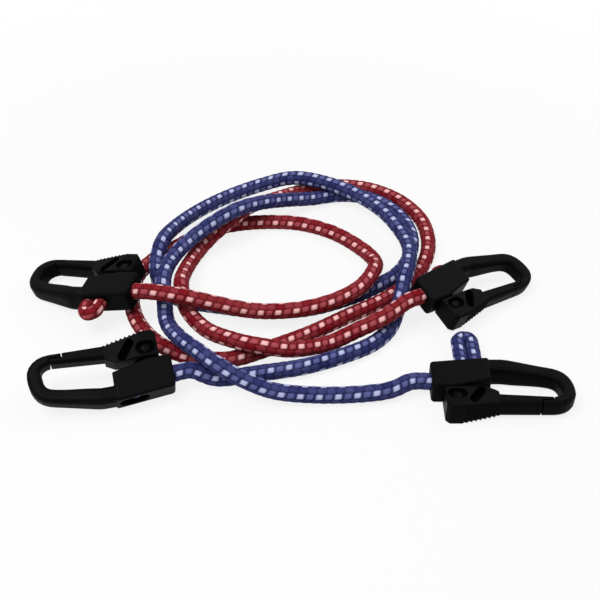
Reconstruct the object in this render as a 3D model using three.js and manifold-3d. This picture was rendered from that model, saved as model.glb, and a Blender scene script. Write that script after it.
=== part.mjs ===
// A pair of bungee cords, one red and one blue, lying loosely coiled together on a flat surface.
// Each cord is a rubber core in a braided sheath with a moulded carabiner hook on both ends.
// A hook is a body with a spine and a nose, a sprung gate with a ribbed thumb pad, the gate's
// pivot pin and return spring, a ferrule that grips the cord in the body's socket, and the cord's
// doubled end, which comes out of the spine side as a loop.
// Millimetres, +Z up, origin on the surface under the middle of the four hooks.
import * as THREE from 'three';
import { mergeVertices } from 'three/addons/utils/BufferGeometryUtils.js';
import Module from 'manifold-3d';

const wasm = await Module();
wasm.setup();

// Cord
const CORD_DIAMETER = 8.5;
const SHEATH_WALL = 1.1;
const CORD_SIDES = 8;
const CORD_STEPS = 74;
const CORD_IN_SOCKET = 9;
const CORD_LEAD = 9.5;
const SLIDE_GAP = 0.3;

// Hook body, measured from the cord's entry at the base, x to the nose, y to the spine
const HOOK_LENGTH = 70;
const BODY_THICKNESS = 13;
const BODY_LENGTH = 29.5;
const BASE_HALF_WIDTH = 8.5;
const BASE_CORNER = 2;
const EDGE_ROUND = 0.8;
const SPINE_STEP = 2.6;
const SPINE_ROOT_WIDTH = 8.6;
const SPINE_STRAIGHT_X = 37;
const SPINE_CORNER_X = 59;
const SPINE_TAPER = 5;
const CORNER_LEAD = 7.5;
const ARM_WIDTH = 7.3;
const ARM_THICKNESS = 9.8;
const NOSE_WIDTH = 7.2;
const NOSE_Y = -9.6;
const NOSE_LEAD = 9.5;
const NOSE_SEAT_X = 58.5;
const ARM_SIDES = 12;
const ARM_STEPS = 28;

// Cord socket and the side pocket that the cord's doubled end comes out of, set back from the body's front
const SOCKET_LIP = 4;
const FERRULE_LENGTH = 4;
const FERRULE_WALL = 0.75;
const TAIL_SETBACK = 8.9;
const TAIL_DIAMETER = 6.8;
const TAIL_LEG_SPACING = 7.2;
const TAIL_SEAT_Y = 0.5;

// Gate; drops are measured down from the underside of the base
const PIVOT_X = 11.5;
const PIVOT_DROP = 5.5;
const GATE_SWING_DEG = 14;
const GATE_GAP = 0.4;
const GATE_REAR_X = 5.6;
const GATE_FRONT_X = 27.5;
const GATE_DROP = 10.8;
const GATE_ROOT_WIDTH = 8;
const GATE_TIP_WIDTH = 5.2;
const PAD_DROP = 14.5;
const PAD_FLAT_END_X = 14;
const PAD_END_X = 32;
const RIDGE_COUNT = 8;
const RIDGE_DEPTH = 1.05;
const LIP_LENGTH = 6;
const LIP_THICKNESS = 2.3;
const LIP_GAP = 0.5;
const TONGUE_THICKNESS = 6;
const HUB_RADIUS = 4.4;
const PIN_DIAMETER = 3;
const PIN_HOLE_GAP = 0.3;
const EYE_LENGTH = 9.6;
const EYE_WIDTH = 6.4;
const EYE_DEPTH = 1.9;
const SLOT_WIDTH = 4;
const SLOT_TOP_X = 23.4;
const SLOT_TOP_DROP = 2.7;
const SLOT_FOOT_X = 18.8;
const SLOT_FOOT_DROP = 9.1;
const SLOT_WEB = 2.4;

// Return spring
const SPRING_WIRE = 0.7;
const SPRING_RADIUS = 2.5;
const SPRING_TURNS = 2.5;
const SPRING_PITCH = 1.15;

// Where each hook lies: the cord's entry point, and its turn, nose-down pitch and roll in degrees.
// Tail is how far the doubled end of the cord stands out of the spine face.
const HOOKS = [
  {
    name: 'red_hook_left', cord: 'red', tail: 10.5,
    at: [-87, -3.6, 20.3], yaw: 160.5, pitch: 13.5, roll: -6.5,
  },
  {
    name: 'blue_hook_left', cord: 'blue', tail: -2,
    at: [-62.9, -55.2, 10.2], yaw: 194.5, pitch: -0.5, roll: -25,
  },
  {
    name: 'red_hook_right', cord: 'red', tail: 2.5,
    at: [64.4, -2, 15.4], yaw: 34, pitch: 5, roll: 17,
  },
  {
    name: 'blue_hook_right', cord: 'blue', tail: 24.5,
    at: [64.8, -57.2, BODY_THICKNESS / 2], yaw: 0, pitch: 0, roll: 0,
  },
];

// The two cords' centre lines from the left hook to the right hook, as they lie
const BLUE_ROUTE = [
  [-41, -53.4, 5.2], [-19, -49, 4.5], [2, -44.5, 4.5],
  [21, -37, 4.5], [37.4, -27.8, 4.5], [47.2, -16.2, 4.5], [52.2, -3.8, 6.4], [55.4, 6, 11.6],
  [57.6, 16, 14], [60.8, 29, 13.8], [62, 46, 13.6], [56.5, 64.5, 13.6], [47, 82.5, 13.6], [32, 98.5, 13.6],
  [13.5, 109.5, 14.1], [-5, 115.5, 13], [-25, 116.5, 7], [-45, 107.5, 4.5], [-61.5, 91.5, 5.2],
  [-73, 69, 10], [-79, 47.5, 14.3], [-80.7, 31, 9], [-76, 17, 4.6], [-63.5, 7.5, 4.5],
  [-43.5, 2.5, 4.5], [-21, -1.4, 4.5], [2, 0, 4.5], [21.5, 7, 4.5], [39.8, 17.6, 4.5],
  [56, 32, 4.5], [64.5, 52, 4.5], [65, 73, 4.5], [56.5, 93, 4.5], [42, 106, 4.5],
  [25, 109, 4.5], [7.5, 102.5, 6.4], [-9, 92, 12.6], [-24, 79, 19.5], [-37, 67.5, 22.8],
  [-50.5, 58.5, 19.8], [-63, 48, 15.4], [-71.5, 33, 14], [-74.6, 16, 14.3], [-73.2, 2, 10],
  [-70, -16, 9.4], [-62, -32, 13.4], [-51, -45.6, 16.4], [-40, -56, 16.4], [-27, -61.8, 12],
  [-12, -64.2, 6.8], [8, -64.5, 4.5], [28, -64, 4.5], [44, -62.2, 5.4],
];
const RED_ROUTE = [
  [-60, -10.2, 22], [-42, -11, 17.4], [-23, -10.2, 12.2],
  [-2, -8.7, 11.8], [17, -3.2, 12.8], [32, 7, 13.8], [40.5, 22, 13.2], [42.5, 40, 6.4],
  [35, 55, 4.5], [20, 69.5, 4.5], [1, 78.5, 4.5], [-19, 80.5, 4.5], [-38.5, 78, 4.5],
  [-56, 71, 4.5], [-70.5, 57.5, 4.5], [-83.5, 44.5, 4.5], [-92, 27, 4.5], [-91.5, 4, 4.5],
  [-84, -15, 4.5], [-71, -29.5, 4.5], [-54, -38, 4.5], [-35.5, -39, 4.5], [-15.5, -30.5, 4.5],
  [5, -19.5, 4.5], [26.5, -5, 4.5], [47, 8.5, 4.5], [62.5, 24.5, 4.5], [72, 43, 4.5],
  [75.6, 63, 4.5], [72.6, 84.5, 4.5], [60.5, 104, 4.5], [41.5, 116.5, 4.5], [19, 119, 4.5],
  [-1, 112.5, 4.5], [-17, 99, 8], [-29, 84.5, 13.6], [-40, 70.5, 13.6], [-52, 60.5, 8],
  [-60.5, 47.5, 4.8], [-64.5, 27, 9], [-64.5, 9, 14.1], [-60.5, -6, 10], [-49, -22.5, 10.2],
  [-34, -34, 13.2], [-20, -38.5, 13.4], [-4, -36.5, 9], [14, -28.6, 5.6], [28.5, -23.8, 10],
  [40, -20, 13.8], [47.5, -15.4, 15.2],
];

const material = (color, roughness, metalness = 0) =>
  new THREE.MeshStandardMaterial({ color, roughness, metalness });
const BLACK_NYLON = material(0x17181a, 0.5);
const STEEL = material(0xb4b7ba, 0.35, 1);
const RUBBER = material(0xd9c9a3, 0.8);
const BRAID = { red: material(0x96262c, 0.8), blue: material(0x3c4290, 0.8) };

// Sizes that follow from the ones above
const swing = THREE.MathUtils.degToRad(GATE_SWING_DEG);
const baseFootY = -BASE_HALF_WIDTH;
const spineFace = BASE_HALF_WIDTH + SPINE_STEP;
const tailCentreX = BODY_LENGTH - TAIL_SETBACK;
const pivotY = baseFootY - PIVOT_DROP;
const gateOuterY = baseFootY - GATE_DROP;
const padOuterY = baseFootY - PAD_DROP;
const gateTopY = baseFootY - GATE_GAP;
const gateInnerY = gateOuterY + GATE_ROOT_WIDTH;
const lipY = gateOuterY + LIP_THICKNESS;
const socketRadius = CORD_DIAMETER / 2 + SLIDE_GAP;
const ferruleRadius = socketRadius + FERRULE_WALL;
const forkHalf = TONGUE_THICKNESS / 2 + SLIDE_GAP;
const forkRadius = HUB_RADIUS + GATE_GAP;
const pinHoleRadius = PIN_DIAMETER / 2 + PIN_HOLE_GAP;
const springRoom = SPRING_RADIUS + SPRING_WIRE + SLIDE_GAP;
const springHeight = SPRING_TURNS * SPRING_PITCH + SPRING_WIRE;
const springFloorZ = TONGUE_THICKNESS / 2 - springHeight - 2 * SLIDE_GAP;
const ARC = 0.5523;

// Keeps only merged positions of a closed geometry, with its faces pointing out
function facingOut(geometry) {
  geometry.deleteAttribute('normal');
  geometry.deleteAttribute('uv');
  const merged = mergeVertices(geometry, 1e-4);
  const position = merged.getAttribute('position');
  const index = merged.getIndex().array;
  const corner = (i) => new THREE.Vector3().fromBufferAttribute(position, index[i]);
  let volume = 0;
  for (let i = 0; i < index.length; i += 3) {
    volume += corner(i).dot(corner(i + 1).cross(corner(i + 2)));
  }
  if (volume < 0) {
    index.reverse();
  }
  return merged;
}

function solid(geometry) {
  const merged = facingOut(geometry);
  return new wasm.Manifold(new wasm.Mesh({
    numProp: 3,
    vertProperties: new Float32Array(merged.getAttribute('position').array),
    triVerts: new Uint32Array(merged.getIndex().array),
  }));
}

function geometryOf(manifold) {
  const mesh = manifold.getMesh();
  const geometry = new THREE.BufferGeometry();
  geometry.setAttribute('position', new THREE.BufferAttribute(mesh.vertProperties, 3));
  geometry.setIndex(new THREE.BufferAttribute(mesh.triVerts, 1));
  return geometry;
}

// A moulded plate of an outline in the hook's plane, with its edges rounded off
function plate(outline, thickness, edge) {
  return new THREE.ExtrudeGeometry(outline, {
    depth: thickness - 2 * edge,
    bevelThickness: edge,
    bevelSize: edge,
    bevelOffset: -edge,
    bevelSegments: 1,
    curveSegments: 5,
  }).translate(0, 0, edge - thickness / 2);
}

// A box given by its low and high corners
function block(low, high) {
  const size = high.map((value, i) => value - low[i]);
  const middle = high.map((value, i) => (value + low[i]) / 2);
  return new THREE.BoxGeometry(...size).translate(...middle);
}

// A round rod across the hook's plane
function crossRod(x, y, radius, low, high, sides = 16) {
  return new THREE.CylinderGeometry(radius, radius, high - low, sides)
    .rotateX(Math.PI / 2)
    .translate(x, y, (low + high) / 2);
}

// A round rod along the hook, centred on the cord's entry
function alongRod(radius, from, to) {
  return new THREE.CylinderGeometry(radius, radius, to - from, 16)
    .rotateZ(Math.PI / 2)
    .translate((from + to) / 2, 0, 0);
}

// An outline with straight sides and round ends from one point to another
function stadium(from, to, width) {
  const shape = new THREE.Shape();
  const angle = Math.atan2(to[1] - from[1], to[0] - from[0]);
  shape.absarc(to[0], to[1], width / 2, angle - Math.PI / 2, angle + Math.PI / 2);
  shape.absarc(from[0], from[1], width / 2, angle + Math.PI / 2, angle + 1.5 * Math.PI);
  return shape;
}

// Two wedges that thin a thick end down to the arm's thickness between two places along the hook
function taperWedges(fromX, toX, lowY, highY) {
  const profile = new THREE.Shape();
  const reach = toX + HOOK_LENGTH;
  profile.moveTo(fromX, BODY_THICKNESS / 2);
  profile.lineTo(toX, ARM_THICKNESS / 2);
  profile.lineTo(reach, ARM_THICKNESS / 2);
  profile.lineTo(reach, BODY_THICKNESS);
  profile.lineTo(fromX, BODY_THICKNESS);
  const wedge = () => new THREE.ExtrudeGeometry(profile, { depth: highY - lowY, bevelEnabled: false });
  const upper = wedge().rotateX(Math.PI / 2).translate(0, highY, 0);
  const lower = wedge().rotateX(-Math.PI / 2).translate(0, lowY, 0);
  return solid(upper).add(solid(lower));
}

// An arm of rounded section whose outer edge follows a flat path; its width and thickness vary
// with the distance along it, from 0 to 1
function arm(path, steps, widthAt, thicknessAt) {
  const sides = ARM_SIDES;
  const positions = [];
  const index = [];
  const side = new THREE.Vector3();
  const up = new THREE.Vector3(0, 0, 1);
  const soft = (value) => Math.sign(value) * Math.sqrt(Math.abs(value));
  const widest = soft(Math.cos(Math.PI / sides));
  for (let i = 0; i <= steps; i += 1) {
    const along = i / steps;
    const edge = path.getPointAt(along);
    side.crossVectors(path.getTangentAt(along), up).normalize();
    const halfWidth = widthAt(along) / 2;
    const halfThickness = thicknessAt(along) / 2;
    for (let j = 0; j < sides; j += 1) {
      const turn = (2 * Math.PI * (j + 0.5)) / sides;
      const across = (halfWidth * soft(Math.cos(turn))) / widest;
      const point = edge.clone().addScaledVector(side, halfWidth + across);
      positions.push(point.x, point.y, (halfThickness * soft(Math.sin(turn))) / widest);
    }
  }
  for (let i = 0; i < steps; i += 1) {
    for (let j = 0; j < sides; j += 1) {
      const a = i * sides + j;
      const b = i * sides + ((j + 1) % sides);
      index.push(a, b, a + sides, b, b + sides, a + sides);
    }
  }
  for (let j = 1; j < sides - 1; j += 1) {
    const last = steps * sides;
    index.push(0, j + 1, j, last, last + j, last + j + 1);
  }
  const geometry = new THREE.BufferGeometry();
  geometry.setAttribute('position', new THREE.Float32BufferAttribute(positions, 3));
  geometry.setIndex(index);
  return geometry;
}

// A tube of a polygonal section along a curve, hollow where a bore is given
function tube(curve, radius, sides, steps, bore = 0) {
  const ring = (r) =>
    Array.from({ length: sides }, (_, i) => {
      const turn = (2 * Math.PI * (i + 0.5)) / sides;
      return new THREE.Vector2(r * Math.cos(turn), r * Math.sin(turn));
    });
  const section = new THREE.Shape(ring(radius));
  if (bore > 0) {
    section.holes.push(new THREE.Path(ring(bore).reverse()));
  }
  return facingOut(new THREE.ExtrudeGeometry(section, { extrudePath: curve, steps, bevelEnabled: false }));
}

// Least clear distance of a wound tube to itself, past the stretch that is its own bend
function printSelfGap(name, curve, diameter, samples) {
  const points = curve.getSpacedPoints(samples);
  const length = curve.getLength();
  const skip = Math.ceil((Math.PI * diameter * samples) / length);
  let least = Infinity;
  for (let i = 0; i < points.length; i += 1) {
    for (let j = i + skip; j < points.length; j += 1) {
      least = Math.min(least, points[i].distanceTo(points[j]) - diameter);
    }
  }
  console.log(`${name}: length ${length.toFixed(1)} mm, least gap to itself ${least.toFixed(2)} mm`);
}

// Base block of the hook: square to the cord, its underside cut away for the gate's swing
function baseOutline() {
  const shape = new THREE.Shape();
  const kneeX = PIVOT_X - (baseFootY - pivotY) * Math.tan(swing / 2);
  const frontY = baseFootY + (BODY_LENGTH - kneeX) * Math.tan(swing);
  const shoulderX = tailCentreX + (TAIL_LEG_SPACING + TAIL_DIAMETER) / 2;
  shape.moveTo(BASE_CORNER, baseFootY);
  shape.lineTo(kneeX, baseFootY);
  shape.lineTo(BODY_LENGTH, frontY);
  shape.lineTo(BODY_LENGTH, spineFace);
  shape.lineTo(shoulderX, spineFace);
  shape.lineTo(BASE_CORNER, BASE_HALF_WIDTH);
  shape.absarc(BASE_CORNER, BASE_HALF_WIDTH - BASE_CORNER, BASE_CORNER, Math.PI / 2, Math.PI);
  shape.absarc(BASE_CORNER, BASE_CORNER - BASE_HALF_WIDTH, BASE_CORNER, Math.PI, 1.5 * Math.PI);
  return shape;
}

// Outer edge of the spine: straight from the base, sloping in to a corner, round the nose and back
// to the end of the lip
function spineEdge() {
  const at = (x, y) => new THREE.Vector3(x, y, 0);
  const root = at(BODY_LENGTH - SPINE_ROOT_WIDTH, spineFace);
  const bend = at(SPINE_STRAIGHT_X, spineFace);
  const corner = at(SPINE_CORNER_X, spineFace - SPINE_TAPER);
  const beyond = corner.clone().sub(bend).setLength(CORNER_LEAD).add(corner);
  const nose = at(HOOK_LENGTH, NOSE_Y);
  const seat = at(NOSE_SEAT_X, gateOuterY);
  const path = new THREE.CurvePath();
  path.add(new THREE.LineCurve3(root, bend));
  path.add(new THREE.LineCurve3(bend, corner));
  path.add(new THREE.CubicBezierCurve3(corner, beyond, at(HOOK_LENGTH, NOSE_Y + NOSE_LEAD), nose));
  path.add(new THREE.CubicBezierCurve3(
    nose,
    at(HOOK_LENGTH, NOSE_Y + ARC * (gateOuterY - NOSE_Y)),
    at(NOSE_SEAT_X + ARC * (HOOK_LENGTH - NOSE_SEAT_X), gateOuterY),
    seat,
  ));
  path.add(new THREE.LineCurve3(seat, at(NOSE_SEAT_X - LIP_LENGTH, gateOuterY)));
  return path;
}

// Spine arm: thick and wide at the base, slimmer towards the corner and round the nose, and cut
// down behind the gate's tip to a lip
function spineArm() {
  const path = spineEdge();
  const whole = path.getLength();
  const [bend, corner, , seat] = path.getCurveLengths().map((length) => length / whole);
  const rise = THREE.MathUtils.smoothstep;
  const middle = (corner + seat) / 2;
  const widthAt = (along) =>
    SPINE_ROOT_WIDTH +
    (ARM_WIDTH - SPINE_ROOT_WIDTH) * rise(along, bend, corner) +
    (NOSE_WIDTH - ARM_WIDTH) * rise(along, corner, middle) +
    (GATE_TIP_WIDTH - NOSE_WIDTH) * rise(along, middle, seat);
  const rootThickness = BODY_THICKNESS - EDGE_ROUND;
  const thicknessAt = (along) =>
    rootThickness + (ARM_THICKNESS - rootThickness) * rise(along, bend, corner);
  const behindTip = block(
    [NOSE_SEAT_X - LIP_LENGTH - 1, lipY, -BODY_THICKNESS],
    [NOSE_SEAT_X, lipY + GATE_TIP_WIDTH, BODY_THICKNESS],
  );
  return solid(arm(path, ARM_STEPS, widthAt, thicknessAt)).subtract(solid(behindTip));
}

// Side pocket in the spine face, a long round-ended hole that the cord's doubled end fills
function tailPocket() {
  const reach = TAIL_LEG_SPACING / 2;
  const mouth = stadium(
    [tailCentreX - reach, 0],
    [tailCentreX + reach, 0],
    TAIL_DIAMETER + 2 * SLIDE_GAP,
  );
  return new THREE.ExtrudeGeometry(mouth, { depth: 2 * spineFace, bevelEnabled: false, curveSegments: 6 })
    .rotateX(-Math.PI / 2)
    .translate(0, TAIL_SEAT_Y - SLIDE_GAP, 0);
}

function hookBody() {
  const half = BODY_THICKNESS / 2;
  const tongueHalf = TONGUE_THICKNESS / 2;
  const tongueTop = (baseFootY - socketRadius) / 2;
  const tongue = block(
    [PIVOT_X - HUB_RADIUS, pivotY, -tongueHalf],
    [PIVOT_X + HUB_RADIUS, tongueTop, tongueHalf],
  );
  const ferruleEnd = SOCKET_LIP + FERRULE_LENGTH + 2 * SLIDE_GAP;
  return geometryOf(
    solid(plate(baseOutline(), BODY_THICKNESS, EDGE_ROUND))
      .add(spineArm())
      .add(solid(tongue))
      .add(solid(crossRod(PIVOT_X, pivotY, HUB_RADIUS, -tongueHalf, tongueHalf, 20)))
      .subtract(solid(alongRod(socketRadius, -1, tailCentreX)))
      .subtract(solid(alongRod(ferruleRadius + SLIDE_GAP, SOCKET_LIP, ferruleEnd)))
      .subtract(solid(tailPocket()))
      .subtract(solid(crossRod(PIVOT_X, pivotY, springRoom, springFloorZ, half, 16)))
      .subtract(solid(crossRod(PIVOT_X, pivotY, pinHoleRadius, -half, half))),
  );
}

// Gate block: the fork that straddles the body's tongue, with the thumb pad along its outer side
function padOutline() {
  const shape = new THREE.Shape();
  shape.moveTo(GATE_REAR_X, gateTopY);
  shape.lineTo(GATE_FRONT_X, gateTopY);
  shape.lineTo(PAD_END_X, gateInnerY);
  shape.lineTo(PAD_END_X, gateOuterY);
  shape.lineTo(PAD_FLAT_END_X, padOuterY);
  shape.lineTo(GATE_REAR_X + BASE_CORNER, padOuterY);
  shape.lineTo(GATE_REAR_X, padOuterY + BASE_CORNER);
  return shape;
}

// Gate arm: runs from the pad to the nose, stepped at its tip to close behind the lip
function gateArm() {
  const tipX = NOSE_SEAT_X - LIP_GAP;
  const path = new THREE.LineCurve3(
    new THREE.Vector3(tipX, gateOuterY, 0),
    new THREE.Vector3(GATE_FRONT_X - GATE_ROOT_WIDTH, gateOuterY, 0),
  );
  const widthAt = (along) => GATE_TIP_WIDTH + (GATE_ROOT_WIDTH - GATE_TIP_WIDTH) * along;
  const step = block(
    [tipX - LIP_LENGTH, gateOuterY - 1, -BODY_THICKNESS],
    [tipX + 1, lipY + LIP_GAP, BODY_THICKNESS],
  );
  return solid(arm(path, 6, widthAt, () => ARM_THICKNESS)).subtract(solid(step));
}

// Grooves across the sloping front of the pad, which leave its ridges standing
function padGrooves() {
  const grooves = [];
  for (let i = 0; i < RIDGE_COUNT; i += 1) {
    const along = (i + 0.5) / RIDGE_COUNT;
    const x = THREE.MathUtils.lerp(PAD_FLAT_END_X, PAD_END_X, along);
    const y = THREE.MathUtils.lerp(padOuterY, gateOuterY, along);
    grooves.push(solid(crossRod(x, y, RIDGE_DEPTH, -BODY_THICKNESS, BODY_THICKNESS, 6)));
  }
  return grooves.reduce((joined, groove) => joined.add(groove));
}

function hookGate() {
  const half = BODY_THICKNESS / 2;
  const rise = gateTopY - pivotY;
  const forkFront = (forkRadius + rise * Math.sin(swing)) / Math.cos(swing);
  const fork = block(
    [PIVOT_X - forkRadius, pivotY, -forkHalf],
    [PIVOT_X + forkFront, gateTopY + 1, forkHalf],
  );
  const eyeReach = (EYE_LENGTH - EYE_WIDTH) / 2;
  const eyeShape = stadium([PIVOT_X - eyeReach, pivotY], [PIVOT_X + eyeReach, pivotY], EYE_WIDTH);
  const eye = (z) =>
    new THREE.ExtrudeGeometry(eyeShape, { depth: 2 * EYE_DEPTH, bevelEnabled: false, curveSegments: 5 })
      .translate(0, 0, z - EYE_DEPTH);
  const slotShape = stadium(
    [SLOT_FOOT_X, baseFootY - SLOT_FOOT_DROP],
    [SLOT_TOP_X, baseFootY - SLOT_TOP_DROP],
    SLOT_WIDTH,
  );
  const slot = (low) =>
    new THREE.ExtrudeGeometry(slotShape, { depth: BODY_THICKNESS, bevelEnabled: false, curveSegments: 3 })
      .translate(0, 0, low);
  return geometryOf(
    solid(plate(padOutline(), BODY_THICKNESS, EDGE_ROUND))
      .subtract(taperWedges(PAD_FLAT_END_X, PAD_END_X, padOuterY - 1, gateTopY + 1))
      .add(gateArm())
      .subtract(solid(fork))
      .subtract(solid(crossRod(PIVOT_X, pivotY, forkRadius, -forkHalf, forkHalf, 20)))
      .subtract(solid(eye(half)))
      .subtract(solid(eye(-half)))
      .subtract(solid(slot(SLOT_WEB / 2)))
      .subtract(solid(slot(-SLOT_WEB / 2 - BODY_THICKNESS)))
      .subtract(solid(crossRod(PIVOT_X, pivotY, pinHoleRadius, -half, half)))
      .subtract(padGrooves()),
  );
}

function pivotPin() {
  const end = BODY_THICKNESS / 2 - EYE_DEPTH - SLIDE_GAP;
  return facingOut(crossRod(PIVOT_X, pivotY, PIN_DIAMETER / 2, -end, end, 12));
}

// Torsion spring round the pin: its turns between two short straight legs
function springCurve() {
  const perTurn = 8;
  const count = SPRING_TURNS * perTurn;
  const foot = springFloorZ + SLIDE_GAP + SPRING_WIRE / 2;
  const points = [];
  for (let i = 0; i <= count; i += 1) {
    const turn = (2 * Math.PI * i) / perTurn;
    points.push(new THREE.Vector3(
      PIVOT_X + SPRING_RADIUS * Math.cos(turn),
      pivotY + SPRING_RADIUS * Math.sin(turn),
      foot + (SPRING_PITCH * i) / perTurn,
    ));
  }
  const leg = (from, to) => to.clone().add(to.clone().sub(from).setLength(SPRING_WIRE));
  points.unshift(leg(points[1], points[0]));
  points.push(leg(points.at(-2), points.at(-1)));
  return new THREE.CatmullRomCurve3(points, false, 'catmullrom');
}

function returnSpring() {
  return tube(springCurve(), SPRING_WIRE / 2, 5, Math.round(SPRING_TURNS * 8) + 2);
}

function cordFerrule() {
  const start = SOCKET_LIP + SLIDE_GAP;
  const corners = [
    [socketRadius, 0],
    [ferruleRadius, 0],
    [ferruleRadius, FERRULE_LENGTH],
    [socketRadius, FERRULE_LENGTH],
    [socketRadius, 0],
  ];
  const profile = corners.map(([radius, along]) => new THREE.Vector2(radius, along));
  const ring = new THREE.LatheGeometry(profile, 16).rotateZ(-Math.PI / 2);
  return facingOut(ring.translate(start, 0, 0));
}

// Doubled end of the cord: two legs side by side in the pocket, joined by a tight half turn
function tailCurve(standOut) {
  const reach = TAIL_LEG_SPACING / 2;
  const crownY = spineFace + standOut - TAIL_DIAMETER / 2 - reach;
  const middleY = (TAIL_SEAT_Y + crownY) / 2;
  const arcSteps = 8;
  const points = [
    new THREE.Vector3(tailCentreX - reach, TAIL_SEAT_Y, 0),
    new THREE.Vector3(tailCentreX - reach, middleY, 0),
  ];
  for (let i = 0; i <= arcSteps; i += 1) {
    const turn = Math.PI * (1 - i / arcSteps);
    points.push(new THREE.Vector3(
      tailCentreX + reach * Math.cos(turn),
      crownY + reach * Math.sin(turn),
      0,
    ));
  }
  points.push(new THREE.Vector3(tailCentreX + reach, middleY, 0));
  points.push(new THREE.Vector3(tailCentreX + reach, TAIL_SEAT_Y, 0));
  return new THREE.CatmullRomCurve3(points, false, 'catmullrom');
}

function named(name, geometry, finish) {
  const mesh = new THREE.Mesh(geometry, finish);
  mesh.name = name;
  return mesh;
}

const pair = new THREE.Group();
pair.name = 'bungee_cord_pair';

// The four hooks, each in a group at its place, and where the cord enters each
const ends = {};
const hooksBox = new THREE.Box3();
for (const hook of HOOKS) {
  const group = new THREE.Group();
  const turns = [hook.roll, hook.pitch, hook.yaw].map(THREE.MathUtils.degToRad);
  group.position.set(...hook.at);
  group.rotation.set(...turns, 'ZYX');
  group.add(named(`${hook.name}_body`, hookBody(), BLACK_NYLON));
  group.add(named(`${hook.name}_gate`, hookGate(), BLACK_NYLON));
  group.add(named(`${hook.name}_pivot_pin`, pivotPin(), STEEL));
  group.add(named(`${hook.name}_return_spring`, returnSpring(), STEEL));
  group.add(named(`${hook.name}_ferrule`, cordFerrule(), STEEL));
  group.updateMatrixWorld(true);
  hooksBox.expandByObject(group, true);
  const tail = tube(tailCurve(hook.tail), TAIL_DIAMETER / 2, CORD_SIDES, 20);
  group.add(named(`${hook.name}_cord_tail`, tail, BRAID[hook.cord]));
  pair.add(group);
  const axis = new THREE.Vector3(1, 0, 0).applyEuler(group.rotation);
  ends[hook.name] = [-CORD_LEAD, 0, CORD_IN_SOCKET].map((along) =>
    new THREE.Vector3(...hook.at).addScaledVector(axis, along));
}

// The two cords, each from the socket of its left hook to that of its right hook
const boreRadius = CORD_DIAMETER / 2 - SHEATH_WALL;
const coreRadius = boreRadius * Math.cos(Math.PI / CORD_SIDES) - SLIDE_GAP;
for (const [color, route] of [['red', RED_ROUTE], ['blue', BLUE_ROUTE]]) {
  const points = [
    ...ends[`${color}_hook_left`].toReversed(),
    ...route.map((point) => new THREE.Vector3(...point)),
    ...ends[`${color}_hook_right`],
  ];
  const curve = new THREE.CatmullRomCurve3(points, false, 'catmullrom');
  curve.arcLengthDivisions = 2000;
  const sheath = tube(curve, CORD_DIAMETER / 2, CORD_SIDES, CORD_STEPS, boreRadius);
  pair.add(named(`${color}_cord_sheath`, sheath, BRAID[color]));
  pair.add(named(`${color}_cord_core`, tube(curve, coreRadius, CORD_SIDES, CORD_STEPS), RUBBER));
  printSelfGap(`${color} cord`, curve, CORD_DIAMETER, 600);
}
printSelfGap('return spring', springCurve(), SPRING_WIRE, 200);

const middle = hooksBox.getCenter(new THREE.Vector3());
pair.position.set(-middle.x, -middle.y, 0);

export default pair;
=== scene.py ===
"""A pair of bungee cords, one red and one blue, loosely coiled together, with black carabiner hooks."""
import math

import bmesh
import bpy
import numpy as np
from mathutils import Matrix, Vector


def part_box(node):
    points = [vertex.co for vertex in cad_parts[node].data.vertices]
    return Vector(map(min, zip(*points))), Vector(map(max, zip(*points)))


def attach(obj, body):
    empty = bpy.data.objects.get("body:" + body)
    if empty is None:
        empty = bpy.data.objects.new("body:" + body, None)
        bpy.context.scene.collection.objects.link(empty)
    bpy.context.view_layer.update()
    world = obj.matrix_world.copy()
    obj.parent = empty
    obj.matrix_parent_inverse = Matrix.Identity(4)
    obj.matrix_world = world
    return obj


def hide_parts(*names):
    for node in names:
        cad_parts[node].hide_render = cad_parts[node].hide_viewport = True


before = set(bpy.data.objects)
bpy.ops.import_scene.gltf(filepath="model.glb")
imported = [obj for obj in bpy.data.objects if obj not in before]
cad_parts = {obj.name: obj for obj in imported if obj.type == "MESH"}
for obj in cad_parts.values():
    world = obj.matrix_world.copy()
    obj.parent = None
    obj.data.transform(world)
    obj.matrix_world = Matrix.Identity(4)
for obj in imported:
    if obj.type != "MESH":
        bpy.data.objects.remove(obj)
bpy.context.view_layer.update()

# Braided cords: a bundle of latex strands in a sheath woven round it, red on one and blue on the other.
# Four pale tracer yarns show as rows of ticks along each cord, with plain yarn floats between them.
# Both ends of a cord go into the socket of a hook, and the rest lies where it was dropped.
ROOT = "cords_and_hooks"
CORD_DIAMETER = 0.0085
CORD_IN_SOCKET = 0.009
CORD_LEAD = 0.0095
CORD_SIDES = 56
RING_STEP = 0.0007
TICK_PITCH = 0.0094
YARN_ROWS = 8
YARN_ENDS = 5.0
ROW_STAGGER = 0.25
FLOAT_HEIGHT = 0.00034
FLOAT_MEAN_RISE = 0.6
FLOAT_LEAN = 0.14
BRAID_SWING = 0.45
BRAID_SWING_LENGTH = 0.052
ORIGIN_SHIFT = np.array([0.007691409, 0.021341964, 0.0])
HOOKS = {
    "red_hook_left": {"at": (-0.087, -0.0036, 0.0203), "yaw": 160.5, "pitch": 13.5, "roll": -6.5},
    "blue_hook_left": {"at": (-0.0629, -0.0552, 0.0102), "yaw": 194.5, "pitch": -0.5, "roll": -25},
    "red_hook_right": {"at": (0.0644, -0.002, 0.0154), "yaw": 34, "pitch": 5, "roll": 17},
    "blue_hook_right": {"at": (0.0648, -0.0572, 0.0065), "yaw": 0, "pitch": 0, "roll": 0},
}
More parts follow.
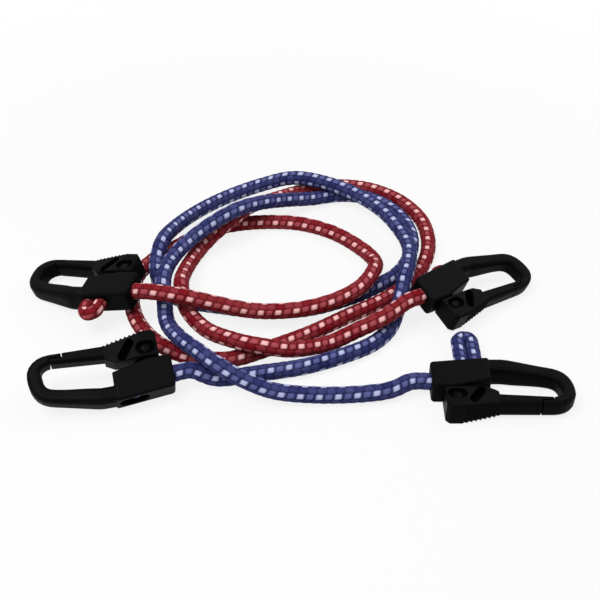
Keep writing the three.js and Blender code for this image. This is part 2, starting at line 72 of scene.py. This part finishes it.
RED_ROUTE = [
    (-0.06, -0.0102, 0.022), (-0.042, -0.011, 0.0174), (-0.023, -0.0102, 0.0122),
    (-0.002, -0.0087, 0.0118), (0.017, -0.0032, 0.0128), (0.032, 0.007, 0.0138),
    (0.0405, 0.022, 0.0132), (0.0425, 0.04, 0.0064), (0.035, 0.055, 0.0045), (0.02, 0.0695, 0.0045),
    (0.001, 0.0785, 0.0045), (-0.019, 0.0805, 0.0045), (-0.0385, 0.078, 0.0045),
    (-0.056, 0.071, 0.0045), (-0.0705, 0.0575, 0.0045), (-0.0835, 0.0445, 0.0045),
    (-0.092, 0.027, 0.0045), (-0.0915, 0.004, 0.0045), (-0.084, -0.015, 0.0045),
    (-0.071, -0.0295, 0.0045), (-0.054, -0.038, 0.0045), (-0.0355, -0.039, 0.0045),
    (-0.0155, -0.0305, 0.0045), (0.005, -0.0195, 0.0045), (0.0265, -0.005, 0.0045),
    (0.047, 0.0085, 0.0045), (0.0625, 0.0245, 0.0045), (0.072, 0.043, 0.0045),
    (0.0756, 0.063, 0.0045), (0.0726, 0.0845, 0.0045), (0.0605, 0.104, 0.0045),
    (0.0415, 0.1165, 0.0045), (0.019, 0.119, 0.0045), (-0.001, 0.1125, 0.0045),
    (-0.017, 0.099, 0.008), (-0.029, 0.0845, 0.0136), (-0.04, 0.0705, 0.0136),
    (-0.052, 0.0605, 0.008), (-0.0605, 0.0475, 0.0048), (-0.0645, 0.027, 0.009),
    (-0.0645, 0.009, 0.0141), (-0.0605, -0.006, 0.01), (-0.049, -0.0225, 0.0102),
    (-0.034, -0.034, 0.0132), (-0.02, -0.0385, 0.0134), (-0.004, -0.0365, 0.009),
    (0.014, -0.0286, 0.0056), (0.0285, -0.0238, 0.01), (0.04, -0.02, 0.0138),
    (0.0475, -0.0154, 0.0152),
]
BLUE_ROUTE = [
    (-0.041, -0.0534, 0.0052), (-0.019, -0.049, 0.0045), (0.002, -0.0445, 0.0045),
    (0.021, -0.037, 0.0045), (0.0374, -0.0278, 0.0045), (0.0472, -0.0162, 0.0045),
    (0.0522, -0.0038, 0.0064), (0.0554, 0.006, 0.0116), (0.0576, 0.016, 0.014),
    (0.0608, 0.029, 0.0138), (0.062, 0.046, 0.0136), (0.0565, 0.0645, 0.0136),
    (0.047, 0.0825, 0.0136), (0.032, 0.0985, 0.0136), (0.0135, 0.1095, 0.0141),
    (-0.005, 0.1155, 0.013), (-0.025, 0.1165, 0.007), (-0.045, 0.1075, 0.0045),
    (-0.0615, 0.0915, 0.0052), (-0.073, 0.069, 0.01), (-0.079, 0.0475, 0.0143),
    (-0.0807, 0.031, 0.009), (-0.076, 0.017, 0.0046), (-0.0635, 0.0075, 0.0045),
    (-0.0435, 0.0025, 0.0045), (-0.021, -0.0014, 0.0045), (0.002, 0, 0.0045), (0.0215, 0.007, 0.0045),
    (0.0398, 0.0176, 0.0045), (0.056, 0.032, 0.0045), (0.0645, 0.052, 0.0045), (0.065, 0.073, 0.0045),
    (0.0565, 0.093, 0.0045), (0.042, 0.106, 0.0045), (0.025, 0.109, 0.0045), (0.0075, 0.1025, 0.0064),
    (-0.009, 0.092, 0.0126), (-0.024, 0.079, 0.0195), (-0.037, 0.0675, 0.0228),
    (-0.0505, 0.0585, 0.0198), (-0.063, 0.048, 0.0154), (-0.0715, 0.033, 0.014),
    (-0.0746, 0.016, 0.0143), (-0.0732, 0.002, 0.01), (-0.07, -0.016, 0.0094),
    (-0.062, -0.032, 0.0134), (-0.051, -0.0456, 0.0164), (-0.04, -0.056, 0.0164),
    (-0.027, -0.0618, 0.012), (-0.012, -0.0642, 0.0068), (0.008, -0.0645, 0.0045),
    (0.028, -0.064, 0.0045), (0.044, -0.0622, 0.0054),
]


def hook_turn(hook):
    """Rotation matrix of a hook: roll about its own length, then pitch with the nose down, then yaw."""
    roll, pitch, yaw = (math.radians(hook[key]) for key in ("roll", "pitch", "yaw"))
    about_x = [[1, 0, 0], [0, math.cos(roll), -math.sin(roll)], [0, math.sin(roll), math.cos(roll)]]
    about_y = [[math.cos(pitch), 0, math.sin(pitch)], [0, 1, 0], [-math.sin(pitch), 0, math.cos(pitch)]]
    about_z = [[math.cos(yaw), -math.sin(yaw), 0], [math.sin(yaw), math.cos(yaw), 0], [0, 0, 1]]
    return np.array(about_z) @ np.array(about_y) @ np.array(about_x)


def hook_point(name, local):
    """Place of points given in a hook's own frame: the cord's entry plus the turned point."""
    hook = HOOKS[name]
    return np.asarray(local) @ hook_turn(hook).T + np.array(hook["at"]) + ORIGIN_SHIFT


def smooth_line(points, per_span=24):
    """Uniform Catmull-Rom curve through the points: a cubic on each span whose end slopes are half the
    chord between the neighbours, with the end points mirrored to give the first and last slope."""
    points = np.asarray(points, float)
    padded = np.vstack([2 * points[0] - points[1], points, 2 * points[-1] - points[-2]])
    t = np.linspace(0, 1, per_span, endpoint=False)[None, :, None]
    p0, p1, p2, p3 = (padded[i:len(padded) - 3 + i, None, :] for i in range(4))
    cubic = p1 + 0.5 * t * (p2 - p0 + t * (2 * p0 - 5 * p1 + 4 * p2 - p3 + t * (3 * (p1 - p2) + p3 - p0)))
    return np.vstack([cubic.reshape(-1, 3), points[-1:]])


def even_line(points, step):
    """The same line with points an equal arc length apart, and the arc length of each."""
    run = np.concatenate([[0], np.cumsum(np.linalg.norm(np.diff(points, axis=0), axis=1))])
    along = np.linspace(0, run[-1], int(round(run[-1] / step)) + 1)
    return np.column_stack([np.interp(along, run, points[:, i]) for i in range(3)]), along


def braid_tube(name, line, along, diameter, facing, swing, phase):
    """Closed tube round a line. A ring's first side faces the given direction, turned by a slow wave
    along the cord; the radius rises by a float's height in the middle of each yarn float, which is a
    cell of half a tick pitch by one yarn row, staggered by a quarter of a cell and leaning the other
    way from row to row."""
    tangent = np.gradient(line, axis=0)
    tangent /= np.linalg.norm(tangent, axis=1, keepdims=True)
    front = np.asarray(facing, float)[None, :] - (tangent @ np.asarray(facing, float))[:, None] * tangent
    front /= np.linalg.norm(front, axis=1, keepdims=True)
    across = np.cross(tangent, front)
    around = np.arange(CORD_SIDES) / CORD_SIDES
    turn = 2 * np.pi * around[None, :] + swing * np.sin(along / BRAID_SWING_LENGTH + phase)[:, None]
    row = (around[None, :] * YARN_ROWS + 0.5) % YARN_ROWS
    lean = FLOAT_LEAN * (row % 1 - 0.5) * (1 - 2 * (np.floor(row) % 2))
    cell = 2 * along[:, None] / TICK_PITCH + ROW_STAGGER * np.floor(row) + lean
    rise = np.sqrt(np.abs(np.sin(np.pi * cell) * np.sin(np.pi * row)))
    radius = diameter / 2 + FLOAT_HEIGHT * (rise - FLOAT_MEAN_RISE)
    spoke = np.cos(turn)[..., None] * front[:, None, :] + np.sin(turn)[..., None] * across[:, None, :]
    verts = (line[:, None, :] + radius[..., None] * spoke).reshape(-1, 3)
    rings = len(line)
    i, j = np.meshgrid(np.arange(rings - 1), np.arange(CORD_SIDES), indexing="ij")
    k = (j + 1) % CORD_SIDES
    quads = np.stack([i * CORD_SIDES + j, i * CORD_SIDES + k,
                      (i + 1) * CORD_SIDES + k, (i + 1) * CORD_SIDES + j], axis=-1).reshape(-1, 4)
    faces = quads.tolist()
    faces.append(list(range(CORD_SIDES - 1, -1, -1)))
    faces.append(list(range((rings - 1) * CORD_SIDES, rings * CORD_SIDES)))
    mesh = bpy.data.meshes.new(name)
    mesh.from_pydata(verts.tolist(), [], faces)
    u = along / TICK_PITCH
    v = np.arange(CORD_SIDES + 1) / CORD_SIDES
    corners = np.stack([np.stack([u[i], v[j]], -1), np.stack([u[i], v[j + 1]], -1),
                        np.stack([u[i + 1], v[j + 1]], -1), np.stack([u[i + 1], v[j]], -1)], axis=2)
    uv = np.vstack([corners.reshape(-1, 2), np.zeros((2 * CORD_SIDES, 2))])
    mesh.uv_layers.new(name="yarn").data.foreach_set("uv", uv.astype(np.float32).ravel())
    mesh.polygons.foreach_set("use_smooth", np.ones(len(faces), bool))
    piece = bpy.data.objects.new(name, mesh)
    bpy.context.scene.collection.objects.link(piece)
    return piece


def linear(red, green, blue):
    """A colour given in display values from 0 to 255, as the linear colour that a shader takes."""
    value = np.array([red, green, blue]) / 255
    curve = np.where(value <= 0.04045, value / 12.92, ((value + 0.055) / 1.055) ** 2.4)
    return (*curve.tolist(), 1.0)


class Finish:
    """A new surface finish, with a short way to add its shader nodes and link them."""

    def __init__(self, name):
        self.material = bpy.data.materials.new(name)
        self.material.use_nodes = True
        self.tree = self.material.node_tree
        self.shader = self.tree.nodes["Principled BSDF"]

    def add(self, kind, inputs=(), **settings):
        node = self.tree.nodes.new(kind)
        for key, value in settings.items():
            setattr(node, key, value)
        for key, value in dict(inputs).items():
            self.put(node.inputs[key], value)
        return node

    def put(self, socket, value):
        if isinstance(value, bpy.types.NodeSocket):
            self.tree.links.new(value, socket)
        else:
            socket.default_value = value

    def math(self, operation, *values, clamp=False):
        node = self.add("ShaderNodeMath", operation=operation, use_clamp=clamp)
        for socket, value in zip(node.inputs, values):
            self.put(socket, value)
        return node.outputs[0]

    def mix(self, factor, first, second):
        node = self.add("ShaderNodeMix", data_type="RGBA")
        for key, value in ((0, factor), (6, first), (7, second)):
            self.put(node.inputs[key], value)
        return node.outputs[2]

    def bump(self, height, strength, distance):
        node = self.add("ShaderNodeBump", {"Height": height, "Strength": strength, "Distance": distance})
        self.put(self.shader.inputs["Normal"], node.outputs[0])


FLOAT_HALF_LENGTH = 0.47
FLOAT_HALF_WIDTH = 0.5
FLOAT_EDGE = 6.0
FLOAT_SIDES_LIT = 0.55
TICK_HALF_LENGTH = 0.42
TICK_HALF_WIDTH = 0.47
TICK_EDGE = 4.5
PALE_FLOAT_SHARE = 0.8
TONE_CHANGE = 0.35
FILAMENTS = (3.0, 130.0, 1.0)
FILAMENT_SHADE = 0.5
FILAMENT_RELIEF = 0.6
YARN_END_EDGE = 3.0
YARN_END_SHADE = 0.18
YARN_END_RELIEF = 0.6
YARN_SHADE = 0.5
YARN_ROUGHNESS = 0.6
YARN_SPECULAR = 0.02
BRAID_BUMP = 0.5
BRAID_RELIEF = 0.00025


def braid_material(name, dark, plain, pale, tick):
    """Woven yarn. The map's u counts tick pitches and v goes once round. Each cell of half a pitch by one
    row is a float of a few yarn ends side by side, with painted shade on it: lighter on its top than on
    its sides, dark between its corners and darker along the edges of its yarn ends; every second float of
    every second row is a pale tick, the floats between those are paler than the rest, and fine lines along
    the yarn ends are the filaments."""
    yarn = Finish(name)
    braid_map = yarn.add("ShaderNodeUVMap", uv_map="yarn").outputs[0]
    place = yarn.add("ShaderNodeSeparateXYZ", {0: braid_map})
    along, around = place.outputs[0], place.outputs[1]
    row = yarn.math("ADD", yarn.math("MULTIPLY", around, float(YARN_ROWS)), 0.5)
    row = yarn.math("MODULO", row, float(YARN_ROWS))
    row_index = yarn.math("FLOOR", row)
    odd = yarn.math("MODULO", row_index, 2.0)
    side = yarn.math("MULTIPLY", yarn.math("SUBTRACT", 0.5, odd), 2.0 * FLOAT_LEAN)
    lean = yarn.math("MULTIPLY", yarn.math("SUBTRACT", yarn.math("FRACT", row), 0.5), side)
    shift = yarn.math("ADD", yarn.math("MULTIPLY", row_index, ROW_STAGGER), lean)
    cell = yarn.math("ADD", yarn.math("MULTIPLY", along, 2.0), shift)
    cell_index = yarn.math("FLOOR", cell)

    def middle(value, half, edge):
        """1 over the middle of a cell, falling to 0 at its edges."""
        off = yarn.math("ABSOLUTE", yarn.math("SUBTRACT", yarn.math("FRACT", value), 0.5))
        return yarn.math("MULTIPLY", yarn.math("SUBTRACT", half, off), edge, clamp=True)

    lengthwise = middle(cell, FLOAT_HALF_LENGTH, FLOAT_EDGE)
    crosswise = middle(row, FLOAT_HALF_WIDTH, FLOAT_EDGE)
    # Painted shade: the float's top lit in full, its sides at FLOAT_SIDES_LIT and its corners dark.
    sides = yarn.math("MULTIPLY", yarn.math("MAXIMUM", lengthwise, crosswise), FLOAT_SIDES_LIT)
    top = yarn.math("MULTIPLY", yarn.math("MULTIPLY", lengthwise, crosswise), 1.0 - FLOAT_SIDES_LIT)
    shown = yarn.math("ADD", sides, top)
    ticked = yarn.math("MULTIPLY", middle(cell, TICK_HALF_LENGTH, TICK_EDGE),
                       middle(row, TICK_HALF_WIDTH, TICK_EDGE))
    spot = yarn.add("ShaderNodeCombineXYZ", {0: cell_index, 1: row_index})
    chance = yarn.add("ShaderNodeTexWhiteNoise", {"Vector": spot.outputs[0]}, noise_dimensions="2D")
    in_row = yarn.math("SUBTRACT", 1.0, odd)
    even = yarn.math("LESS_THAN", yarn.math("MODULO", cell_index, 2.0), 0.5)
    is_tick = yarn.math("MULTIPLY", in_row, even)
    is_pale = yarn.math("SUBTRACT", in_row, is_tick)
    stretch = yarn.add("ShaderNodeMapping", {"Vector": braid_map, "Scale": FILAMENTS})
    fibre = yarn.add("ShaderNodeTexNoise", {"Vector": stretch.outputs[0], "Scale": 1.0, "Detail": 3.0})
    # Painted shade along the edges of the yarn ends, with the filaments as fine random tone.
    ends = middle(yarn.math("MULTIPLY", row, YARN_ENDS), 0.5, YARN_END_EDGE)
    shade = yarn.math("ADD", YARN_SHADE, yarn.math("MULTIPLY", fibre.outputs[0], FILAMENT_SHADE))
    shade = yarn.math("ADD", shade, yarn.math("MULTIPLY", ends, YARN_END_SHADE), clamp=True)
    # The dark colour is the painted shade where the floats meet.
    ground = yarn.mix(yarn.math("MULTIPLY", shown, shade), dark, plain)
    tone = yarn.math("MULTIPLY", yarn.math("MULTIPLY", shown, chance.outputs[0]), TONE_CHANGE)
    ground = yarn.mix(tone, ground, pale)
    paler = yarn.math("MULTIPLY", yarn.math("MULTIPLY", is_pale, ticked), PALE_FLOAT_SHARE)
    ground = yarn.mix(paler, ground, pale)
    color = yarn.mix(yarn.math("MULTIPLY", yarn.math("MULTIPLY", is_tick, ticked), shade), ground, tick)
    yarn.put(yarn.shader.inputs["Base Color"], color)
    yarn.shader.inputs["Roughness"].default_value = YARN_ROUGHNESS
    yarn.shader.inputs["Specular IOR Level"].default_value = YARN_SPECULAR
    relief = yarn.math("ADD", shown, yarn.math("MULTIPLY", fibre.outputs[0], FILAMENT_RELIEF))
    relief = yarn.math("ADD", relief, yarn.math("MULTIPLY", ends, YARN_END_RELIEF))
    yarn.bump(relief, BRAID_BUMP, BRAID_RELIEF)
    return yarn.material


# The first colour of each braid is painted shade, for the gaps between its floats.
BRAID = {
    "red": braid_material("red braid", linear(40, 0, 4), linear(118, 18, 27),
                          linear(159, 77, 83), linear(238, 184, 183)),
    "blue": braid_material("blue braid", linear(5, 5, 24), linear(41, 44, 93),
                           linear(91, 95, 143), linear(180, 185, 220)),
}
BRAID_FACING = (0.0, -0.62, 0.78)
for color, route, phase in (("red", RED_ROUTE, 0.4), ("blue", BLUE_ROUTE, 2.1)):
    left, right = f"{color}_hook_left", f"{color}_hook_right"
    lead_in = hook_point(left, [(CORD_IN_SOCKET, 0, 0), (0, 0, 0), (-CORD_LEAD, 0, 0)])
    lead_out = hook_point(right, [(-CORD_LEAD, 0, 0), (0, 0, 0), (CORD_IN_SOCKET, 0, 0)])
    free = np.array(route) + ORIGIN_SHIFT
    line, along = even_line(smooth_line(np.vstack([lead_in, free, lead_out])), RING_STEP)
    cord = braid_tube(f"{color}_braided_cord", line, along, CORD_DIAMETER, BRAID_FACING, BRAID_SWING, phase)
    cord.data.materials.append(BRAID[color])
    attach(cord, ROOT)
    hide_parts(f"{color}_cord_sheath", f"{color}_cord_core")

# Doubled cord ends: the end of each cord is folded once and pushed into the side pocket of its hook.
# The fold stands out of the spine face, a little on one hook and as a long loop on another.
TAIL_CENTRE_X = 0.0206
TAIL_DIAMETER = 0.0071
TAIL_SEAT_Y = 0.0005
TAIL_RING_STEP = 0.0004
TAIL_SWING = 0.2
TAIL_PHASE = 1.0
FOLD_RADIUS = 0.0036
FOLD_POINTS = 17
FOLD_PAST_SPINE = {"red_hook_left": 0.0105, "blue_hook_left": -0.002,
                   "red_hook_right": 0.0025, "blue_hook_right": 0.0245}
SPINE_FACE = 0.0111
tails = {"red": [], "blue": []}
for name, hook in HOOKS.items():
    color = name.split("_")[0]
    crown = SPINE_FACE + FOLD_PAST_SPINE[name] - TAIL_DIAMETER / 2 - FOLD_RADIUS
    arc = np.linspace(np.pi, 0, FOLD_POINTS)
    bow = np.column_stack([TAIL_CENTRE_X + FOLD_RADIUS * np.cos(arc), crown + FOLD_RADIUS * np.sin(arc),
                           0 * arc])
    legs = np.array([(TAIL_CENTRE_X - FOLD_RADIUS, TAIL_SEAT_Y, 0),
                     (TAIL_CENTRE_X + FOLD_RADIUS, TAIL_SEAT_Y, 0)])
    line, along = even_line(np.vstack([legs[:1], bow, legs[1:]]), TAIL_RING_STEP)
    facing = hook_turn(hook) @ np.array([0.0, 0.0, 1.0])
    tail = braid_tube(f"{name}_doubled_end", hook_point(name, line), along, TAIL_DIAMETER, facing,
                      TAIL_SWING, TAIL_PHASE)
    tail.data.materials.append(BRAID[color])
    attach(tail, ROOT)
    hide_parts(f"{name}_cord_tail")
    tails[color].append(tail)

# Carabiner hooks: two nylon mouldings each, a body with its spine and nose and a gate with a ribbed pad.
# They come out of the tool with softened edges and a fine spark-eroded grain. The eye and the slot of a
# gate get painted shade: a blacker nylon than its faces, with almost no gloss.
WELD_GAP = 1e-6
SKIN_SIZE = {"body": 0.0003, "gate": 0.00025}
SOFTEN_STEPS = {"body": 5, "gate": 3}
SOFTEN_SHARE = 0.5
EYE = ((0.0099, -0.0140), (0.0131, -0.0140), 0.0064)
SLOT = ((0.0188, -0.0176), (0.0234, -0.0112), 0.0040)
RECESS_TOP = 0.0061
RECESS_MARGIN = 0.0003
NYLON_GRAIN = 2600.0
NYLON_BUMP = 0.25
NYLON_RELIEF = 0.00006
NYLON_FLOW = 70.0
NYLON_FLOW_TONE = 1.7
NYLON_FLOW_GLOSS = 0.2


def moulding(node, name, part):
    """A CAD node's own shape with its facets and edges softened: its corners merged, wrapped in an even
    skin of small squares, and each point then drawn towards the middle of its neighbours a few times."""
    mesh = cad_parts[node].data.copy()
    shape = bmesh.new()
    shape.from_mesh(mesh)
    bmesh.ops.remove_doubles(shape, verts=shape.verts, dist=WELD_GAP)
    shape.to_mesh(mesh)
    shape.free()
    rough = bpy.data.objects.new(f"{name}_rough", mesh)
    bpy.context.scene.collection.objects.link(rough)
    skin = rough.modifiers.new("skin", "REMESH")
    skin.mode = "VOXEL"
    skin.voxel_size = SKIN_SIZE[part]
    soften = rough.modifiers.new("soften", "SMOOTH")
    soften.factor = SOFTEN_SHARE
    soften.iterations = SOFTEN_STEPS[part]
    seen = rough.evaluated_get(bpy.context.evaluated_depsgraph_get())
    final = bpy.data.meshes.new_from_object(seen)
    final.name = name
    final.polygons.foreach_set("use_smooth", np.ones(len(final.polygons), bool))
    piece = bpy.data.objects.new(name, final)
    bpy.context.scene.collection.objects.link(piece)
    bpy.data.objects.remove(rough)
    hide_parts(node)
    return piece


def recessed(centres, hook):
    """True for faces of the eye and the slot: those below the gate's two flat faces that are nearer to the
    middle line of the eye or the slot than half its width and a small margin."""
    local = (centres - np.array(hook["at"]) - ORIGIN_SHIFT) @ hook_turn(hook)
    inside = np.zeros(len(local), bool)
    for start, end, width in (EYE, SLOT):
        run = np.array(end) - np.array(start)
        from_start = local[:, :2] - np.array(start)
        share = np.clip(from_start @ run / (run @ run), 0, 1)
        inside |= np.linalg.norm(from_start - share[:, None] * run, axis=1) < width / 2 + RECESS_MARGIN
    return inside & (np.abs(local[:, 2]) < RECESS_TOP)


def nylon_material(name, color, roughness, specular):
    """Black moulded nylon: a fine grain in the surface, with slow changes of gloss over it."""
    nylon = Finish(name)
    place = nylon.add("ShaderNodeTexCoord").outputs["Object"]
    grain = nylon.add("ShaderNodeTexNoise", {"Vector": place, "Scale": NYLON_GRAIN, "Detail": 2.0})
    flow = nylon.add("ShaderNodeTexNoise", {"Vector": place, "Scale": NYLON_FLOW, "Detail": 3.0})
    lighter = tuple(min(1.0, NYLON_FLOW_TONE * value) for value in color[:3]) + (1.0,)
    nylon.put(nylon.shader.inputs["Base Color"], nylon.mix(flow.outputs[0], color, lighter))
    gloss = nylon.math("MULTIPLY", flow.outputs[0], NYLON_FLOW_GLOSS)
    rough = nylon.math("ADD", roughness - NYLON_FLOW_GLOSS / 2, gloss)
    nylon.put(nylon.shader.inputs["Roughness"], rough)
    nylon.shader.inputs["Specular IOR Level"].default_value = specular
    nylon.bump(grain.outputs[0], NYLON_BUMP, NYLON_RELIEF)
    return nylon.material


NYLON = {
    "body": nylon_material("body nylon", linear(6, 6, 7), 0.42, 0.022),
    "gate": nylon_material("gate nylon", linear(5, 5, 6), 0.38, 0.022),
    # The recess nylon is painted shade for the inside of the eye and the slot.
    "recess": nylon_material("recess painted shade", linear(3, 3, 3), 0.7, 0.005),
}
for name, hook in HOOKS.items():
    for part, body, slot in (("body", ROOT, "hook_nylon"), ("gate", f"{name}_gate", "gate_nylon")):
        piece = moulding(f"{name}_{part}", f"{name}_{part}_moulding", part)
        piece.data.materials.clear()
        piece.data.materials.append(NYLON[part])
        if part == "gate":
            # The faces in the eye and the slot take the painted-shade nylon.
            piece.data.materials.append(NYLON["recess"])
            centres = np.empty(3 * len(piece.data.polygons), np.float32)
            piece.data.polygons.foreach_get("center", centres)
            shaded_faces = recessed(centres.reshape(-1, 3), hook)
            piece.data.polygons.foreach_set("material_index", shaded_faces.astype(np.int32))
        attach(piece, body)

# Pivot pins, return springs and ferrules: small near-black steel pieces inside the hooks. Their black is
# painted shade on the pin heads, as dark as the shade in the eyes they sit in.
# Each pin is a rivet, and only its two low heads show, in the eyes of the gate.
PIN_DIAMETER = 0.003
PIN_SIDES = 48
HEAD_DIAMETER = 0.0046
HEAD_UNDERSIDE = 0.00472
HEAD_RIM = 0.00025
HEAD_CROWN = 0.00045
CROWN_STEPS = np.linspace(0.1, 1.0, 10)
STEEL_SCRATCHES = 900.0
STEEL_ROUGHNESS = 0.3
STEEL_SCRATCH_ROUGHNESS = 0.25


def rivet(name, centre, turn):
    """A profile turned round the pin's own axis: a straight shank, and at each end a flat underside, a
    short rim and a crown that is a quarter ellipse from the rim to the axis."""
    arc = CROWN_STEPS * np.pi / 2
    radius = np.concatenate([HEAD_DIAMETER / 2 * np.sin(arc), [HEAD_DIAMETER / 2, PIN_DIAMETER / 2]])
    height = np.concatenate([HEAD_UNDERSIDE + HEAD_RIM + HEAD_CROWN * np.cos(arc), [HEAD_UNDERSIDE] * 2])
    radius = np.concatenate([radius, radius[::-1]])[:, None]
    height = np.concatenate([height, -height[::-1]])[:, None]
    angle = np.linspace(0, 2 * np.pi, PIN_SIDES, endpoint=False)[None, :]
    rings = np.stack([radius * np.cos(angle), radius * np.sin(angle), height + 0 * angle], axis=-1)
    tip = HEAD_UNDERSIDE + HEAD_RIM + HEAD_CROWN
    verts = np.vstack([rings.reshape(-1, 3), [(0, 0, tip), (0, 0, -tip)]]) @ turn.T + centre
    count = len(radius)
    i, j = np.meshgrid(np.arange(count - 1) * PIN_SIDES, np.arange(PIN_SIDES), indexing="ij")
    k = (j + 1) % PIN_SIDES
    sides = np.stack([i + j, i + PIN_SIDES + j, i + PIN_SIDES + k, i + k], axis=-1).reshape(-1, 4)
    last = (count - 1) * PIN_SIDES
    top = np.column_stack([np.full(PIN_SIDES, count * PIN_SIDES), j[0], k[0]])
    bottom = np.column_stack([np.full(PIN_SIDES, count * PIN_SIDES + 1), last + k[0], last + j[0]])
    mesh = bpy.data.meshes.new(name)
    mesh.from_pydata(verts.tolist(), [], sides.tolist() + top.tolist() + bottom.tolist())
    mesh.polygons.foreach_set("use_smooth", np.ones(len(mesh.polygons), bool))
    piece = bpy.data.objects.new(name, mesh)
    bpy.context.scene.collection.objects.link(piece)
    return piece


# The steel's near-black colour is painted shade for the pin heads in the gates' eyes.
steel = Finish("plated steel")
steel_place = steel.add("ShaderNodeTexCoord").outputs["Object"]
scratch = steel.add("ShaderNodeTexNoise", {"Vector": steel_place, "Scale": STEEL_SCRATCHES, "Detail": 4.0})
steel.put(steel.shader.inputs["Base Color"],
          steel.mix(scratch.outputs[0], linear(5, 5, 6), linear(13, 13, 14)))
steel.shader.inputs["Metallic"].default_value = 1.0
scratched = steel.math("MULTIPLY", scratch.outputs[0], STEEL_SCRATCH_ROUGHNESS)
steel.put(steel.shader.inputs["Roughness"], steel.math("ADD", STEEL_ROUGHNESS, scratched))
for name, hook in HOOKS.items():
    pin_centre = np.mean(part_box(f"{name}_pivot_pin"), axis=0)
    pin = rivet(f"{name}_pivot_rivet", pin_centre, hook_turn(hook))
    pin.data.materials.append(steel.material)
    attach(pin, ROOT)
    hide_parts(f"{name}_pivot_pin")
    for part in ("return_spring", "ferrule"):
        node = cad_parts[f"{name}_{part}"]
        node.data.materials.clear()
        node.data.materials.append(steel.material)

# White sweep that the cords lie on, and the soft light of a small studio round it.
# The sweep keeps a faint shadow under the cords and fades to the plain white of the room away from them.
SWEEP_HALF = 1.5
SWEEP_GREY = (0.62, 0.62, 0.62, 1.0)
SWEEP_ROUGHNESS = 0.9
SHADOW_GLOW = 0.84
SHADOW_REACH = 0.18
WHITE_FROM = 0.5
WHITE = (1.0, 1.0, 1.0, 1.0)
MIRROR_RAYS = ("Is Glossy Ray", "Is Transmission Ray")
sweep_mesh = bpy.data.meshes.new("white_sweep")
sweep_mesh.from_pydata([(-SWEEP_HALF, -SWEEP_HALF, 0), (SWEEP_HALF, -SWEEP_HALF, 0),
                        (SWEEP_HALF, SWEEP_HALF, 0), (-SWEEP_HALF, SWEEP_HALF, 0)], [], [(0, 1, 2, 3)])
sweep = bpy.data.objects.new("white_sweep", sweep_mesh)
bpy.context.scene.collection.objects.link(sweep)
card = Finish("white sweep")
card.shader.inputs["Base Color"].default_value = SWEEP_GREY
card.shader.inputs["Roughness"].default_value = SWEEP_ROUGHNESS
card.shader.inputs["Specular IOR Level"].default_value = 0.0
ray = card.add("ShaderNodeLightPath")
seen = ray.outputs["Is Camera Ray"]
for kind in MIRROR_RAYS:
    seen = card.math("MAXIMUM", seen, ray.outputs[kind])
card_place = card.add("ShaderNodeTexCoord").outputs["Object"]
away = card.add("ShaderNodeVectorMath", {0: card_place}, operation="LENGTH").outputs["Value"]
fade = card.add("ShaderNodeMapRange", {0: away, 1: SHADOW_REACH, 2: WHITE_FROM, 3: SHADOW_GLOW, 4: 1.0},
                interpolation_type="SMOOTHSTEP")
share = card.math("MULTIPLY", seen, fade.outputs[0])
glow = card.add("ShaderNodeEmission", {"Color": WHITE, "Strength": 1.0})
blend = card.add("ShaderNodeMixShader", {0: share, 1: card.shader.outputs[0], 2: glow.outputs[0]})
card.put(card.tree.nodes["Material Output"].inputs["Surface"], blend.outputs[0])
sweep_mesh.materials.append(card.material)

ROOM_LIGHT = 0.45
room = bpy.data.worlds.new("studio")
room.use_nodes = True
room_nodes, room_links = room.node_tree.nodes, room.node_tree.links
backdrop = room_nodes["Background"]
backdrop.inputs["Color"].default_value = WHITE
room_ray = room_nodes.new("ShaderNodeLightPath")
room_seen = room_ray.outputs["Is Camera Ray"]
for kind in MIRROR_RAYS:
    either = room_nodes.new("ShaderNodeMath")
    either.operation = "MAXIMUM"
    room_links.new(room_seen, either.inputs[0])
    room_links.new(room_ray.outputs[kind], either.inputs[1])
    room_seen = either.outputs[0]
level = room_nodes.new("ShaderNodeMix")
level.inputs[2].default_value = ROOM_LIGHT
level.inputs[3].default_value = 1.0
room_links.new(room_seen, level.inputs[0])
room_links.new(level.outputs[0], backdrop.inputs["Strength"])
bpy.context.scene.world = room


def soft_box(name, place, aim, size, power):
    """A square lamp at a place, turned to face a point."""
    lamp = bpy.data.lights.new(name, "AREA")
    lamp.size = size
    lamp.energy = power
    holder = bpy.data.objects.new(name, lamp)
    holder.location = place
    toward = np.asarray(aim, float) - np.asarray(place, float)
    flat = math.hypot(toward[0], toward[1])
    holder.rotation_euler = (math.atan2(flat, -toward[2]), 0.0, math.atan2(-toward[0], toward[1]))
    bpy.context.scene.collection.objects.link(holder)


LAMP_AIM = (0, 0.03, 0)
soft_box("key_light", (-0.35, -0.25, 0.9), LAMP_AIM, 0.6, 9.0)
soft_box("fill_light", (0.55, 0.35, 0.8), LAMP_AIM, 0.7, 4.0)

# Camera at the photograph's viewing angle, above the front of the coil.
# It looks along +Y and down, with the coil in the middle of its square frame.
CAMERA_PITCH = 40.3645
CAMERA_BACK = 0.410
CAMERA_HEIGHT = 0.35964
camera_data = bpy.data.cameras.new("camera")
camera_data.sensor_width = 36.0
camera_data.lens = 60.0
camera = bpy.data.objects.new("camera", camera_data)
camera.location = (ORIGIN_SHIFT[0], ORIGIN_SHIFT[1] - CAMERA_BACK, CAMERA_HEIGHT)
camera.rotation_euler = (math.radians(90 - CAMERA_PITCH), 0.0, 0.0)
bpy.context.scene.collection.objects.link(camera)
bpy.context.scene.camera = camera
bpy.context.scene.view_settings.view_transform = "Standard"
